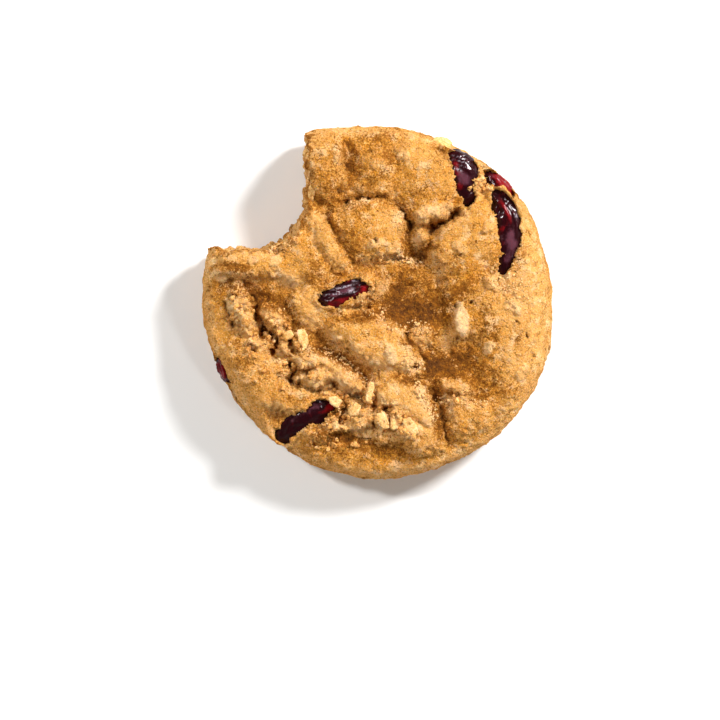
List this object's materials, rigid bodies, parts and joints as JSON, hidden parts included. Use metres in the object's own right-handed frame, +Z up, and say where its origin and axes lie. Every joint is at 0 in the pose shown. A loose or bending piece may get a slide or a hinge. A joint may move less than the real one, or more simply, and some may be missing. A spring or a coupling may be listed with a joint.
{
  "type": "oatmeal cranberry cookie",
  "caption": "Round soft-baked oatmeal cookie with dried cranberries and a bite taken out of its edge, lying flat with its craggy baked face up.",
  "frame": {"origin": "on the flat base, under the middle of the round outline", "axes": "+Z up out of the craggy baked face, +Y towards the half of the rim that holds the bite and the upper cranberries, +X to the right seen from above, away from the bite"},
  "size_m": [0.0702, 0.0709, 0.0157],
  "materials": {
    "baked_dough": "matt baked crumb",
    "cranberry": "glossy wrinkled skin"
  },
  "bodies": {
    "root": {"cookie_body": "baked_dough", "cranberry_upper": "cranberry", "cranberry_rim": "cranberry", "cranberry_right": "cranberry", "cranberry_centre": "cranberry", "cranberry_left": "cranberry", "cranberry_lower": "cranberry"}
  },
  "joints": []
}
